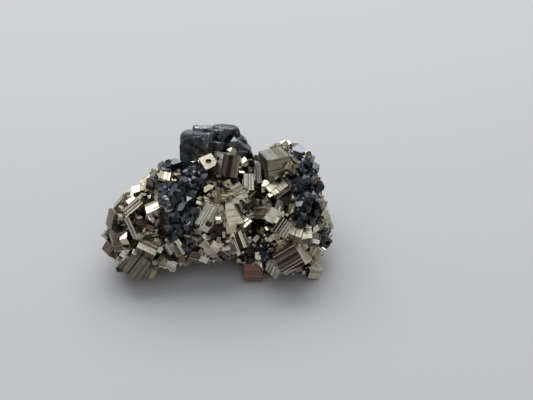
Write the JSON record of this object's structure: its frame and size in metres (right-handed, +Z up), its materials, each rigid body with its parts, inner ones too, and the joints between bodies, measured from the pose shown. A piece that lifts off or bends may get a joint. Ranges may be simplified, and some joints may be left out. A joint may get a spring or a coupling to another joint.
{
  "type": "pyrite and sphalerite crystal cluster",
  "caption": "Natural mineral cluster: brassy striated pyrite cubes over two lobes, with bands of black sphalerite and a tall black crown at the back.",
  "frame": {"origin": "middle of the footprint, on the surface that the cluster stands on", "axes": "+X to the right of the display side, +Y away from the display side, +Z up"},
  "size_m": [0.0614, 0.0434, 0.0287],
  "materials": {
    "pyrite": "pale brassy metal lustre with fine parallel striations",
    "sphalerite": "near black with a glossy, resinous lustre"
  },
  "bodies": {
    "root": {"pyrite": "pyrite", "sphalerite_crown": "sphalerite", "sphalerite_band": "sphalerite", "sphalerite_flank": "sphalerite", "sphalerite_low_right": "sphalerite", "sphalerite_gully": "sphalerite", "sphalerite_speck": "sphalerite", "sphalerite_back_left": "sphalerite", "sphalerite_back_right": "sphalerite"}
  },
  "joints": []
}
